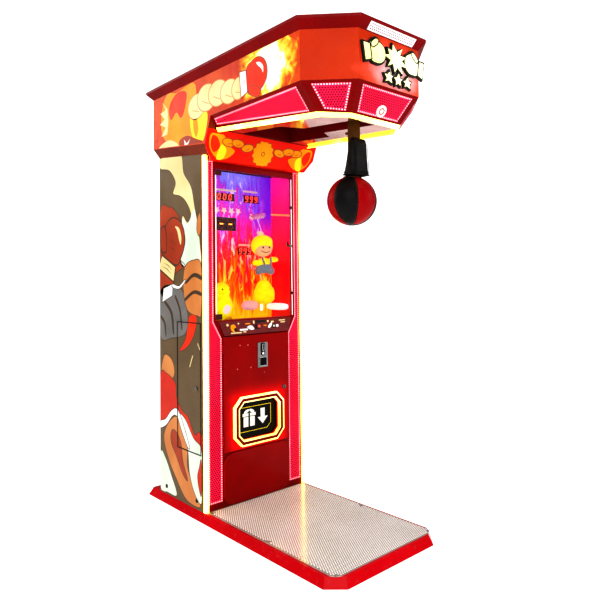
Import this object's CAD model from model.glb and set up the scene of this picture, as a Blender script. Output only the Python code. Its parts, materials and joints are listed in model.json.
"""Boxing punch machine: finishes, soft pieces, printed art, lamps and studio round the frame.

Everything is in the frame's own axes, in metres: +X right and +Y back as the player sees it, +Z up.
"""

import json
import math
import random

import bmesh
import bpy
from mathutils import Matrix, Vector, geometry, noise as perlin


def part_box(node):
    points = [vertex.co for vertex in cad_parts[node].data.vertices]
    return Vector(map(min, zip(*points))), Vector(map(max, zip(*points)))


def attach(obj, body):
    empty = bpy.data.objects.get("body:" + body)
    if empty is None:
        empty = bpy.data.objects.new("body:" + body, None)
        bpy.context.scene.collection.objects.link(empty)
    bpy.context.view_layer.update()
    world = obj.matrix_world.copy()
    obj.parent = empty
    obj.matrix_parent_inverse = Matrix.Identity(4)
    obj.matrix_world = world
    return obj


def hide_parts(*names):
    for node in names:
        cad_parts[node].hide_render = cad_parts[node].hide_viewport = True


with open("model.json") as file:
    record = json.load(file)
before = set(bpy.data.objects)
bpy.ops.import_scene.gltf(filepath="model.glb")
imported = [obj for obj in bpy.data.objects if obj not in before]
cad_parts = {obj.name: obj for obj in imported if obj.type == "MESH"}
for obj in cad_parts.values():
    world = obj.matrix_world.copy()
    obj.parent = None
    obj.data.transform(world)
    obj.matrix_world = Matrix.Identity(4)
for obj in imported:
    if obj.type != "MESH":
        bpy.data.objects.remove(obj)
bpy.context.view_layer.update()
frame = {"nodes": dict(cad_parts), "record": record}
nodes = frame["nodes"]
MM = 0.001
PRINT_GAP = 0.0001      # between a surface and the ink on it
PRINT_STEP = 0.00016    # thickness of one layer of ink


# ---------------------------------------------------------------- shader helpers
def put(tree, socket, value):
    """Link a socket, or set its plain value."""
    if isinstance(value, bpy.types.NodeSocket):
        tree.links.new(value, socket)
    elif socket.type == "RGBA" and len(value) == 3:
        socket.default_value = (*value, 1.0)
    else:
        socket.default_value = value


def node(tree, kind, values=(), out=0, **settings):
    """Add one node and give back one of its outputs."""
    made = tree.nodes.new(kind)
    for key, value in settings.items():
        setattr(made, key, value)
    for key, value in dict(values).items():
        put(tree, made.inputs[key], value)
    return made.outputs[out]


def maths(tree, operation, a, b=0.0):
    return node(tree, "ShaderNodeMath", {0: a, 1: b}, operation=operation)


def span(tree, value, low, high, to_low=0.0, to_high=1.0):
    """Map a value from one range to another, clamped."""
    values = {0: value, 1: low, 2: high, 3: to_low, 4: to_high}
    return node(tree, "ShaderNodeMapRange", values)


def mix(tree, share, a, b, blend="MIX"):
    values = {0: share, 6: a, 7: b}
    return node(tree, "ShaderNodeMix", values, out=2, data_type="RGBA", blend_type=blend)


def grain(tree, where, scale, detail=3.0, distortion=0.0):
    values = {"Vector": where, "Scale": scale, "Detail": detail, "Distortion": distortion}
    return node(tree, "ShaderNodeTexNoise", values)


def vector(tree, operation, a, b=(0.0, 0.0, 0.0), out=0):
    return node(tree, "ShaderNodeVectorMath", {0: a, 1: b}, out=out, operation=operation)


def stretched(tree, where, factors):
    return vector(tree, "MULTIPLY", where, factors)


def reach_from(tree, where, centre, factors):
    """Distance from a centre, with each axis scaled by its factor."""
    away = vector(tree, "SUBTRACT", where, centre)
    return vector(tree, "LENGTH", stretched(tree, away, factors), out=1)


def shaded(tree, tone, level):
    """A colour darkened by a level from 0 to 1."""
    grey = node(tree, "ShaderNodeCombineColor", {0: level, 1: level, 2: level})
    return mix(tree, 1.0, tone, grey, "MULTIPLY")


def axis(tree, where, index):
    return node(tree, "ShaderNodeSeparateXYZ", {0: where}, out=index)


def ramp(tree, value, stops):
    """A colour ramp from (position, colour) pairs."""
    made = tree.nodes.new("ShaderNodeValToRGB")
    put(tree, made.inputs[0], value)
    elements = made.color_ramp.elements
    while len(elements) < len(stops):
        elements.new(0.5)
    for element, (position, colour) in zip(elements, stops):
        element.position = position
        element.color = (*colour, 1.0)
    return made.outputs[0]


def paint(name, low, high=None, rough=(0.22, 0.34), metal=0.0, coat=0.0, sheen=0.0, gloss=0.09,
          grains=(5.0, 160.0), bump=0.05, bump_scale=420.0, scratch=0.12, scuff=0.0, edge=0.0,
          glow=0.0, glow_colour=None, colour=None, pores=0.0, weave=0.0, bump_depth=0.0006):
    """A finish with colour variation, scratches, edge wear, uneven roughness and bump."""
    high = high or tuple(min(1.0, 1.16 * c + 0.004) for c in low)
    mat = bpy.data.materials.new(name)
    mat.use_nodes = True
    tree = mat.node_tree
    shader = tree.nodes["Principled BSDF"]
    where = node(tree, "ShaderNodeTexCoord", out=3)
    wide = grain(tree, where, grains[0], 4.0, 0.3)
    fine = grain(tree, where, grains[1], 3.0)
    both = maths(tree, "ADD", maths(tree, "MULTIPLY", wide, 0.7),
                 maths(tree, "MULTIPLY", fine, 0.3))
    share = span(tree, both, 0.36, 0.64)
    if colour:
        tone = colour(tree, where)
        shade = mix(tree, share, (0.86, 0.86, 0.86), (1.0, 1.0, 1.0))
        tone = mix(tree, 1.0, tone, shade, "MULTIPLY")
    else:
        tone = mix(tree, share, low, high)
    mean = node(tree, "ShaderNodeNewGeometry", out=1)
    worn = tuple(0.75 * c + 0.12 for c in low)
    marks = 0.0
    if scratch:
        long_a = grain(tree, stretched(tree, where, (60.0, 60.0, 3.0)), 9.0, 2.0)
        long_b = grain(tree, stretched(tree, where, (4.0, 3.0, 70.0)), 8.0, 2.0)
        patch = span(tree, grain(tree, where, 11.0, 2.0), 0.5, 0.66)
        lines = maths(tree, "MAXIMUM", span(tree, long_a, 0.69, 0.75),
                      span(tree, long_b, 0.70, 0.76))
        marks = maths(tree, "MULTIPLY", maths(tree, "MULTIPLY", lines, patch), scratch)
    if scuff:
        height = span(tree, axis(tree, where, 2), 0.0, 0.13, 1.0, 0.0)
        blots = span(tree, grain(tree, where, 42.0, 5.0), 0.56, 0.70)
        low_marks = maths(tree, "MULTIPLY", maths(tree, "MULTIPLY", height, blots), scuff)
        marks = maths(tree, "MAXIMUM", marks, low_marks) if scratch else low_marks
    if scratch or scuff:
        tone = mix(tree, marks, tone, worn)
    normal = None
    if edge:
        normal = node(tree, "ShaderNodeBevel", {"Radius": edge}, samples=4)
        facing = vector(tree, "DOT_PRODUCT", normal, mean, out=1)
        rim = span(tree, facing, 0.86, 0.985, 1.0, 0.0)
        rim = maths(tree, "MULTIPLY", rim, span(tree, fine, 0.38, 0.62, 0.05, 0.45))
        tone = mix(tree, rim, tone, worn)
    put(tree, shader.inputs["Base Color"], tone)
    uneven = grain(tree, where, grains[0] * 3.1, 5.0)
    roughness = span(tree, uneven, 0.3, 0.7, rough[0], rough[1])
    if scratch or scuff:
        roughness = maths(tree, "ADD", roughness, maths(tree, "MULTIPLY", marks, 0.5))
    put(tree, shader.inputs["Roughness"], roughness)
    height = grain(tree, where, bump_scale, 3.0)
    if pores:
        cells = node(tree, "ShaderNodeTexVoronoi", {"Vector": where, "Scale": pores},
                     feature="SMOOTH_F1")
        folds = grain(tree, where, pores * 0.07, 4.0, 0.8)
        height = maths(tree, "ADD", maths(tree, "MULTIPLY", cells, 0.9),
                       maths(tree, "MULTIPLY", folds, 1.4))
    if weave:
        threads = [
            node(tree, "ShaderNodeTexWave", {"Vector": where, "Scale": weave, "Distortion": 0.6},
                 bands_direction=direction)
            for direction in ("X", "Z")
        ]
        height = maths(tree, "ADD", maths(tree, "MULTIPLY", threads[0], threads[1]), fine)
    values = {"Strength": bump, "Distance": bump_depth, "Height": height}
    if normal is not None:
        values["Normal"] = normal
    if bump:
        normal = node(tree, "ShaderNodeBump", values)
    if normal is not None:
        put(tree, shader.inputs["Normal"], normal)
    shader.inputs["Metallic"].default_value = metal
    shader.inputs["Specular IOR Level"].default_value = gloss
    shader.inputs["Coat Weight"].default_value = coat
    shader.inputs["Coat Roughness"].default_value = 0.04
    shader.inputs["Sheen Weight"].default_value = sheen
    shader.inputs["Sheen Roughness"].default_value = 0.4
    if glow:
        put(tree, shader.inputs["Emission Color"], glow_colour(tree, where) if glow_colour
            else tone)
        shader.inputs["Emission Strength"].default_value = glow
    return mat


# ---------------------------------------------------------------- finishes
def led_colour(cream, yellow, scale, at=0.5):
    """Light that drifts between two colours along a strip, with the diodes just showing."""
    def made(tree, where):
        drift = span(tree, grain(tree, where, scale, 1.0), at - 0.09, at + 0.09)
        diodes = node(tree, "ShaderNodeTexVoronoi", {"Vector": where, "Scale": 60.0})
        lit = span(tree, diodes, 0.2, 0.8, 1.0, 0.82)
        tone = mix(tree, drift, yellow, cream)
        return shaded(tree, tone, lit)
    return made


def backdrop_colour(tree, where):
    """Violet at the top, magenta, red and then orange streaks below."""
    streaks = grain(tree, stretched(tree, where, (30.0, 1.0, 4.5)), 1.0, 6.0, 0.9)
    wisps = grain(tree, stretched(tree, where, (34.0, 1.0, 9.0)), 1.0, 5.0, 1.2)
    height = span(tree, axis(tree, where, 2), 1.0, 1.83)
    moved = maths(tree, "ADD", height, span(tree, streaks, 0.28, 0.72, -0.26, 0.26))
    flame = ramp(tree, moved, [
        (0.02, (1.0, 0.50, 0.01)), (0.16, (1.0, 0.17, 0.002)), (0.34, (0.90, 0.02, 0.003)),
        (0.52, (0.85, 0.006, 0.06)), (0.66, (0.68, 0.02, 0.42)), (0.82, (0.24, 0.05, 0.62)),
        (0.99, (0.20, 0.20, 0.80)),
    ])
    tint = mix(tree, span(tree, height, 0.30, 0.62), (1.0, 0.72, 0.05), (0.78, 0.50, 0.95))
    pale = mix(tree, span(tree, wisps, 0.55, 0.66, 0.0, 0.8), flame, tint)
    side = maths(tree, "MULTIPLY", span(tree, axis(tree, where, 0), 0.08, 0.28),
                 span(tree, height, 0.50, 0.72))
    return mix(tree, side, pale, (0.16, 0.002, 0.66))


def wall_colour(tree, where):
    drift = grain(tree, stretched(tree, where, (1.0, 3.0, 1.5)), 2.0, 3.0)
    height = maths(tree, "ADD", span(tree, axis(tree, where, 2), 1.0, 1.83),
                   span(tree, drift, 0.3, 0.7, -0.06, 0.06))
    return ramp(tree, height, [
        (0.0, (0.55, 0.0, 0.008)), (0.42, (0.85, 0.0, 0.012)), (0.68, (0.95, 0.0, 0.10)),
        (0.95, (1.0, 0.0, 0.30)),
    ])


def head_glow(tree, where):
    """The head's sides: orange, with a white and yellow flash in front of the glove."""
    reach = reach_from(tree, where, (0.0, -0.368, 2.135), (0.0, 1.0, 1.22))
    side_on = stretched(tree, where, (0.0, 1.0, 1.0))
    flames = span(tree, grain(tree, side_on, 17.0, 4.0, 1.1), 0.3, 0.7, -0.055, 0.055)
    reach = maths(tree, "ADD", reach, flames)
    upward = axis(tree, node(tree, "ShaderNodeNewGeometry", out=1), 2)
    under = span(tree, upward, -0.35, -0.1, 0.30, 1.0)
    back = span(tree, grain(tree, side_on, 5.0, 3.0, 0.8), 0.35, 0.65)
    plain_tone = mix(tree, back, (0.54, 0.032, 0.0006), (0.70, 0.085, 0.002))
    flash = ramp(tree, maths(tree, "MULTIPLY", reach, 4.0), [
        (0.0, (0.90, 0.96, 1.0)), (0.38, (0.93, 0.96, 0.90)), (0.52, (1.0, 0.92, 0.12)),
        (0.68, (0.95, 0.46, 0.008)), (0.90, (0.62, 0.06, 0.001)),
    ])
    tone = mix(tree, span(tree, reach, 0.17, 0.23), flash, plain_tone)
    return shaded(tree, tone, under)


def sign_glow(tree, where):
    """The front of the head: orange, with a pink and white bloom round the emblem."""
    reach = reach_from(tree, where, (0.03, -0.772, 2.10), (1.0, 1.0, 1.9))
    reach = maths(tree, "ADD", reach, span(tree, grain(tree, where, 9.0), 0.3, 0.7, -0.03, 0.03))
    return ramp(tree, maths(tree, "MULTIPLY", reach, 2.6), [
        (0.0, (1.0, 0.80, 0.78)), (0.24, (1.0, 0.42, 0.42)), (0.46, (0.95, 0.10, 0.05)),
        (0.66, (0.56, 0.040, 0.0006)), (1.0, (0.50, 0.032, 0.0006)),
    ])


def door_glow(tree, where):
    """Red light spilling over the door round the outlet's lit ring."""
    low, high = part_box("prize_outlet_led")
    middle, half = (low + high) / 2, (high - low) / 2
    inset, spread = 0.012, 0.10
    away = vector(tree, "ABSOLUTE", vector(tree, "SUBTRACT", where, tuple(middle)))
    away = vector(tree, "SUBTRACT", away, (half.x - inset, 1.0, half.z - inset))
    reach = vector(tree, "LENGTH", vector(tree, "MAXIMUM", away), out=1)
    drift = span(tree, grain(tree, where, 14.0), 0.3, 0.7, 0.85, 1.1)
    fall = maths(tree, "POWER", span(tree, reach, 0.0, spread, 1.0, 0.0), 2.4)
    return mix(tree, maths(tree, "MULTIPLY", fall, drift), (0.0, 0.0, 0.0), (0.95, 0.0, 0.0))


RED_LIT = dict(gloss=0.08, coat=0.02)
finishes = {
    "red_paint": paint("DoorRed", (0.24, 0.0003, 0.0003), (0.31, 0.0006, 0.0006),
                       rough=(0.13, 0.24), scuff=0.25, edge=0.0025, **RED_LIT),
    "dark_red_paint": paint("FrameRed", (0.175, 0.0002, 0.0006), (0.235, 0.0003, 0.001),
                            rough=(0.20, 0.32), edge=0.002, gloss=0.08),
    "base_red_paint": paint("BaseRed", (0.52, 0.0004, 0.006), (0.62, 0.0008, 0.010),
                            rough=(0.12, 0.24), scuff=0.2, scratch=0.15, edge=0.003, gloss=0.09,
                            coat=0.03),
    "side_art": paint("SidePrint", (0.135, 0.088, 0.042), (0.175, 0.118, 0.062), rough=(0.32, 0.46),
                      grains=(3.0, 90.0)),
    "head_art": paint("HeadPrint", (0.50, 0.034, 0.0008), (0.60, 0.052, 0.001), rough=(0.22, 0.34),
                      gloss=0.07, edge=0.002),
    "shoulder_art": paint("ShoulderPrint", (0.72, 0.006, 0.002), (0.88, 0.022, 0.003),
                          rough=(0.18, 0.30), edge=0.002),
    "pink_mesh": paint("MeshPink", (0.84, 0.012, 0.062), (0.94, 0.020, 0.100), rough=(0.34, 0.48),
                       gloss=0.08, glow=0.20, scratch=0.0),
    "white_lens": paint("LensWhite", (0.80, 0.77, 0.78), (0.90, 0.88, 0.89), rough=(0.2, 0.3),
                        glow=0.06, scratch=0.0),
    "tread_metal": paint("TreadSteel", (0.48, 0.415, 0.37), (0.58, 0.515, 0.47), rough=(0.12, 0.20),
                         gloss=0.5, metal=0.42, bump=0.10, bump_scale=260.0, scratch=0.08,
                         edge=0.002),
    "bare_steel": paint("BrushedSteel", (0.19, 0.18, 0.175), (0.34, 0.32, 0.31), rough=(0.22, 0.42),
                        metal=1.0, scratch=0.4, edge=0.001),
    "black_steel": paint("BlackSteel", (0.030, 0.024, 0.020), (0.045, 0.036, 0.030),
                         rough=(0.35, 0.5), edge=0.001),
    "zinc_steel": paint("ZincSteel", (0.42, 0.42, 0.40), (0.58, 0.57, 0.52), rough=(0.3, 0.5),
                        metal=1.0, grains=(26.0, 220.0), scratch=0.3, edge=0.0008),
    "black_leather": paint("BlackLeather", (0.006, 0.0055, 0.006), (0.013, 0.012, 0.012),
                           rough=(0.38, 0.55), pores=620.0, bump=0.35, scratch=0.05, gloss=0.13),
    "ball_leather": paint("RedLeather", (0.28, 0.0004, 0.002), (0.36, 0.0006, 0.004),
                          rough=(0.30, 0.44), pores=620.0, bump=0.3, scratch=0.05, gloss=0.10),
    "rubber": paint("Rubber", (0.018, 0.018, 0.018), rough=(0.65, 0.85), bump=0.2, scuff=0.3),
    "display_black": paint("DisplayPanel", (0.030, 0.002, 0.006), (0.05, 0.004, 0.012),
                           rough=(0.12, 0.2), gloss=0.2),
    "black_acrylic": paint("BlackAcrylic", (0.003, 0.002, 0.002), (0.006, 0.005, 0.004),
                           rough=(0.1, 0.2), gloss=0.10, scratch=0.2),
    "copper_mirror": paint("RoseMirror", (0.44, 0.15, 0.11), (0.56, 0.22, 0.17), rough=(0.05, 0.14),
                           metal=0.8, scratch=0.2),
    "pocket_red": paint("PocketRed", (0.13, 0.0006, 0.002), (0.19, 0.001, 0.003), rough=(0.34, 0.5),
                        gloss=0.14, scratch=0.3),
    "control_print": paint("ControlPrint", (0.12, 0.002, 0.003), (0.19, 0.005, 0.005),
                           rough=(0.16, 0.28), gloss=0.2, grains=(30.0, 200.0)),
    "button_red": paint("ButtonRed", (0.62, 0.06, 0.04), (0.80, 0.12, 0.08), rough=(0.1, 0.2),
                        glow=0.3, scratch=0.0, edge=0.0008),
    "chrome": paint("Chrome", (0.72, 0.72, 0.72), (0.84, 0.84, 0.84), rough=(0.08, 0.2), metal=1.0,
                    scratch=0.3),
    "electronics_green": paint("BoardGreen", (0.03, 0.14, 0.05), (0.06, 0.22, 0.09),
                               rough=(0.35, 0.5), grains=(60.0, 500.0)),
    "fan_black": paint("MouldedBlack", (0.022, 0.022, 0.022), (0.038, 0.037, 0.036),
                       rough=(0.42, 0.58), bump=0.15, edge=0.0008),
    "backdrop_print": paint("BackdropPrint", (0.5, 0.1, 0.3), rough=(0.16, 0.26), glow=0.62,
                            colour=backdrop_colour, scratch=0.0),
    "plush_yellow": paint("PlushYellow", (0.92, 0.72, 0.005), (1.0, 0.93, 0.01), rough=(0.8, 0.95),
                          sheen=0.2, bump=0.9, bump_scale=900.0, bump_depth=0.002, scratch=0.0,
                          grains=(40.0, 700.0), glow=0.34),
}
CREAM_LIGHT = (1.0, 0.76, 0.08)
YELLOW_LIGHT = (1.0, 0.76, 0.03)
finishes["led_diffuser"] = paint("CornerLight", (0.9, 0.85, 0.6), rough=(0.3, 0.4), scratch=0.0,
                                 glow=5.5, glow_colour=led_colour(CREAM_LIGHT, (1.0, 0.70, 0.03),
                                 4.0))
rim_light = paint("RimLight", (0.9, 0.8, 0.4), rough=(0.3, 0.4), scratch=0.0, glow=2.4,
                  glow_colour=led_colour((1.0, 0.84, 0.32), YELLOW_LIGHT, 5.5, 0.56))
outlet_light = paint("OutletLight", (0.9, 0.8, 0.4), rough=(0.3, 0.4), scratch=0.0, glow=1.35,
                     glow_colour=led_colour((1.0, 0.76, 0.24), (1.0, 0.70, 0.02), 7.0))
door_paint = paint("LitDoorRed", (0.24, 0.0003, 0.0003), (0.31, 0.0006, 0.0006), rough=(0.13, 0.24),
                   edge=0.0025, glow=0.72, glow_colour=door_glow, **RED_LIT)
lock_finish = paint("LockSteel", (0.06, 0.052, 0.045), (0.20, 0.18, 0.155), rough=(0.14, 0.3),
                    metal=1.0, grains=(60.0, 400.0), scratch=0.3, edge=0.0008)
nose_print = paint("NosePrint", (0.50, 0.034, 0.0008), rough=(0.2, 0.32), gloss=0.07, edge=0.002,
                   colour=sign_glow, glow=0.10)


def glass_finish():
    """Clear glass: see-through face on, mirroring at a slant, with faint smears."""
    mat = bpy.data.materials.new("WindowGlass")
    mat.use_nodes = True
    tree = mat.node_tree
    shader = tree.nodes["Principled BSDF"]
    where = node(tree, "ShaderNodeTexCoord", out=3)
    smears = span(tree, grain(tree, stretched(tree, where, (3.0, 3.0, 1.0)), 6.0, 5.0), 0.45, 0.75)
    slant = node(tree, "ShaderNodeFresnel", {"IOR": 1.45})
    cover = maths(tree, "ADD", maths(tree, "MULTIPLY", slant, 0.62),
                  maths(tree, "MULTIPLY", smears, 0.008))
    put(tree, shader.inputs["Alpha"], cover)
    put(tree, shader.inputs["Roughness"], span(tree, smears, 0.0, 1.0, 0.02, 0.10))
    put(tree, shader.inputs["Base Color"], mix(tree, smears, (0.015, 0.022, 0.020),
                                               (0.05, 0.055, 0.055)))
    shader.inputs["Specular IOR Level"].default_value = 1.0
    return mat


finishes["glass"] = glass_finish()
side_print = paint("HeadSidePrint", (0.50, 0.034, 0.0008), rough=(0.2, 0.32), gloss=0.07,
                   edge=0.002, colour=head_glow, glow=0.06)
arm_finish = paint("ArmBlack", (0.070, 0.028, 0.004), (0.11, 0.045, 0.006), rough=(0.3, 0.45),
                   edge=0.001, gloss=0.12)
fitting_finish = paint("FittingDark", (0.055, 0.002, 0.003), (0.085, 0.004, 0.005),
                       rough=(0.25, 0.4), gloss=0.3)
special = {
    "arm_tube": arm_finish, "window_fittings": fitting_finish, "head_side_left": side_print,
    "head_side_right": side_print, "rim_led_strip": rim_light, "prize_outlet_led": outlet_light,
    "head_nose_panels": nose_print, "lower_door_panel": door_paint, "lower_door_lock": lock_finish,
    "service_lock": lock_finish, "window_lock": lock_finish,
}
slots = {part["node"]: part["material_slot"] for part in frame["record"]["subparts"]}
for name, obj in nodes.items():
    for place in obj.material_slots:
        place.material = special.get(name, finishes[slots[name]])


# ---------------------------------------------------------------- mesh helpers
def add_mesh(name, mesh_or_bm, material, body, smooth=False):
    """A finished mesh as a new piece that rides on a body and takes a record slot."""
    mesh = mesh_or_bm
    if isinstance(mesh_or_bm, bmesh.types.BMesh):
        mesh = bpy.data.meshes.new(name)
        bmesh.ops.recalc_face_normals(mesh_or_bm, faces=mesh_or_bm.faces)
        mesh_or_bm.to_mesh(mesh)
        mesh_or_bm.free()
    obj = bpy.data.objects.new(name, mesh)
    bpy.context.scene.collection.objects.link(obj)
    for each in material if isinstance(material, list) else [material]:
        mesh.materials.append(each)
    if smooth:
        for face in mesh.polygons:
            face.use_smooth = True
    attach(obj, body)
    return obj


def turns(count):
    """Evenly spaced angles of one full turn."""
    return [2 * math.pi * k / count for k in range(count)]


def bridge(bm, a, b):
    """A band of quads between two rings of as many points."""
    count = len(a)
    for k in range(count):
        bm.faces.new((a[k], a[(k + 1) % count], b[(k + 1) % count], b[k]))


def in_metres(outline):
    return [(u * MM, v * MM) for u, v in outline]


def rounded(points, steps=5):
    """A closed smooth outline through the given points."""
    count = len(points)
    made = []
    for i in range(count):
        p0, p1, p2, p3 = (Vector(points[(i + k) % count]) for k in (-1, 0, 1, 2))
        for s in range(steps):
            t = s / steps
            square = (2 * p0 - 5 * p1 + 4 * p2 - p3) * t * t
            cube = (3 * p1 - p0 - 3 * p2 + p3) * t * t * t
            made.append(tuple(0.5 * (2 * p1 + (p2 - p0) * t + square + cube)))
    return made


def ellipse(x, y, rx, ry, turn=0.0, count=40):
    c, s = math.cos(turn), math.sin(turn)
    made = []
    for a in turns(count):
        u, v = rx * math.cos(a), ry * math.sin(a)
        made.append((x + u * c - v * s, y + u * s + v * c))
    return made


def burst(x, y, rx, ry, tips, depth, seed, start=0.0):
    """A jagged star with uneven tips."""
    draw = random.Random(seed)
    made = []
    for i in range(2 * tips):
        a = start + math.pi * (i + draw.uniform(-0.25, 0.25)) / tips
        reach = 1.0 + draw.uniform(-0.12, 0.16) if i % 2 else depth + draw.uniform(-0.06, 0.06)
        made.append((x + rx * reach * math.cos(a), y + ry * reach * math.sin(a)))
    return made


def scallop(x, y, radius, lobes, depth=0.10, count=96):
    made = []
    for a in turns(count):
        reach = radius * (1 - depth * (0.5 - 0.5 * math.cos(lobes * a)))
        made.append((x + reach * math.cos(a), y + reach * math.sin(a)))
    return made


def box_outline(x, y, half_x, half_y, radius):
    made = []
    for cx, cy, a0 in ((1, 1, 0), (-1, 1, 90), (-1, -1, 180), (1, -1, 270)):
        for step in range(5):
            a = math.radians(a0 + 22.5 * step)
            made.append((x + cx * (half_x - radius) + radius * math.cos(a),
                         y + cy * (half_y - radius) + radius * math.sin(a)))
    return made


def clipped(points, window):
    """The part of an outline inside a convex window given counter-clockwise."""
    made = list(points)
    for (ax, ay), (bx, by) in zip(window, window[1:] + window[:1]):
        def inside(p):
            return (bx - ax) * (p[1] - ay) - (by - ay) * (p[0] - ax) >= 0
        source, made = made, []
        for p, q in zip(source, source[1:] + source[:1]):
            if inside(p):
                made.append(p)
            if inside(p) != inside(q):
                cp = (bx - ax) * (p[1] - ay) - (by - ay) * (p[0] - ax)
                cq = (bx - ax) * (q[1] - ay) - (by - ay) * (q[0] - ax)
                t = cp / (cp - cq)
                made.append((p[0] + (q[0] - p[0]) * t, p[1] + (q[1] - p[1]) * t))
        if len(made) < 3:
            return []
    return made


def counter_clockwise(outline):
    area = sum(a[0] * b[1] - b[0] * a[1] for a, b in zip(outline, outline[1:] + outline[:1]))
    return outline if area > 0 else outline[::-1]


def stroke(outline, width):
    """A closed outline drawn as a line of even width, as a ring of quads."""
    outline = counter_clockwise([p for i, p in enumerate(outline)
                                 if math.dist(p, outline[i - 1]) > 1e-6])
    count = len(outline)
    inner, outer = [], []
    for i in range(count):
        a, b, c = (Vector(outline[(i + k) % count]) for k in (-1, 0, 1))
        n0 = Vector((b.y - a.y, a.x - b.x)).normalized()
        n1 = Vector((c.y - b.y, b.x - c.x)).normalized()
        bend = (n0 + n1) / max(0.6, 1 + n0.dot(n1))
        outer.append(tuple(b + bend * width / 2))
        inner.append(tuple(b - bend * width / 2))
    return [[outer[i], outer[(i + 1) % count], inner[(i + 1) % count], inner[i]]
            for i in range(count)]


def covered(outlines):
    """Triangles that cover a set of outlines once, however the outlines overlap."""
    coords, loops = [], []
    for outline in outlines:
        outline = counter_clockwise(outline)
        loops.append(list(range(len(coords), len(coords) + len(outline))))
        coords += [Vector(p) for p in outline]
    result = geometry.delaunay_2d_cdt(coords, [], loops, 1, 1e-6)
    flat, triangles, owners = result[0], result[2], result[5]
    return [[tuple(flat[i]) for i in t] for t, owner in zip(triangles, owners) if owner]


def flat_piece(name, outlines, place, lift, thick, material, body, windows=None):
    """A closed flat plate over the outlines: place(u, v, w) is the point w above the surface."""
    pieces = covered(outlines)
    if windows:
        pieces = [clipped(piece, window) for piece in pieces for window in windows]
    bm = bmesh.new()
    corners, sides = {}, {}

    def corner(key, level):
        if (key, level) not in corners:
            spot = place(key[0] * 1e-5, key[1] * 1e-5, lift + thick * level)
            corners[(key, level)] = bm.verts.new(spot)
        return corners[(key, level)]

    for piece in pieces:
        keys = [(round(u * 1e5), round(v * 1e5)) for u, v in piece]
        keys = [key for i, key in enumerate(keys) if key != keys[i - 1]]
        area = sum(a[0] * b[1] - b[0] * a[1] for a, b in zip(keys, keys[1:] + keys[:1]))
        if len(keys) < 3 or len(set(keys)) < len(keys) or abs(area) < 40:
            continue
        pairs = list(zip(keys, keys[1:] + keys[:1]))
        if any(pair in sides for pair in pairs):
            continue
        bm.faces.new([corner(key, 1) for key in keys])
        bm.faces.new([corner(key, 0) for key in reversed(keys)])
        sides.update((pair, True) for pair in pairs)
    for a, b in sides:
        if (b, a) not in sides:
            bm.faces.new((corner(b, 1), corner(a, 1), corner(a, 0), corner(b, 0)))
    if not bm.faces:
        bm.free()
        return None
    return add_mesh(name, bm, material, body)


def plane_place(origin, u, v, out):
    """A place() for a flat surface through origin with axes u and v, facing out."""
    origin, u, v, out = Vector(origin), Vector(u), Vector(v), Vector(out).normalized()
    return lambda a, b, w: origin + u * a + v * b + out * w


def side_at(x, out):
    """A place() for an upright surface that faces left or right, in the frame's own y and z."""
    return plane_place((x, 0, 0), (0, 1, 0), (0, 0, 1), (out, 0, 0))


def front_at(y):
    """A place() for an upright surface that faces the player, in the frame's own x and z."""
    return plane_place((0, y, 0), (1, 0, 0), (0, 0, 1), (0, -1, 0))


def tube(bm, points, radius, sides=8, closed=False):
    """Sweep a round section along points and add it to a bmesh."""
    count = len(points)
    rings = []
    up = None
    for i, p in enumerate(points):
        before = points[(i - 1) % count] if closed or i else points[i]
        after = points[(i + 1) % count] if closed or i < count - 1 else points[i]
        along = (Vector(after) - Vector(before)).normalized()
        if up is None:
            up = along.orthogonal().normalized()
        up = (up - along * up.dot(along)).normalized()
        across = along.cross(up)
        size = radius(i) if callable(radius) else radius
        rings.append([
            bm.verts.new(Vector(p) + (up * math.cos(a) + across * math.sin(a)) * size)
            for a in turns(sides)
        ])
    for a, b in list(zip(rings, rings[1:])) + ([(rings[-1], rings[0])] if closed else []):
        bridge(bm, a, b)
    if not closed:
        bm.faces.new(rings[0])
        bm.faces.new(rings[-1])


def ball_mesh(bm, centre, radii, rows=20, columns=32, power=1.0):
    """A closed rounded form with poles on Z, squarer for a power under 1."""
    def shaped(value):
        return math.copysign(abs(value) ** power, value)
    centre = Vector(centre)
    rings = []
    for i in range(1, rows):
        b = math.pi * i / rows
        rings.append([
            bm.verts.new(centre + Vector((
                radii[0] * shaped(math.sin(b)) * shaped(math.cos(a)),
                radii[1] * shaped(math.sin(b)) * shaped(math.sin(a)),
                radii[2] * shaped(math.cos(b)),
            )))
            for a in turns(columns)
        ])
    for a, b in zip(rings, rings[1:]):
        for k in range(columns):
            bm.faces.new((a[k], b[k], b[(k + 1) % columns], a[(k + 1) % columns]))
    for ring, z in ((rings[0], radii[2]), (rings[-1], -radii[2])):
        tip = bm.verts.new(centre + Vector((0, 0, z)))
        for k in range(columns):
            bm.faces.new((tip, ring[k], ring[(k + 1) % columns]))


def slab_mesh(bm, low, high, bevel=0.0):
    """A closed block between two corners with softened edges."""
    made = bmesh.ops.create_cube(bm, size=1.0)
    size = Vector(high) - Vector(low)
    middle = (Vector(high) + Vector(low)) / 2
    for vert in made["verts"]:
        vert.co = Vector((vert.co.x * size.x, vert.co.y * size.y, vert.co.z * size.z)) + middle
    if bevel:
        edges = list({edge for vert in made["verts"] for edge in vert.link_edges})
        bmesh.ops.bevel(bm, geom=edges, offset=bevel, segments=2, affect="EDGES", profile=0.5)


def settle(obj):
    """Put an object's evaluated mesh in place of its own, with no modifier left."""
    graph = bpy.context.evaluated_depsgraph_get()
    mesh = bpy.data.meshes.new_from_object(obj.evaluated_get(graph))
    obj.modifiers.clear()
    obj.data = mesh


CLOTH_FRAMES = 20


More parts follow.
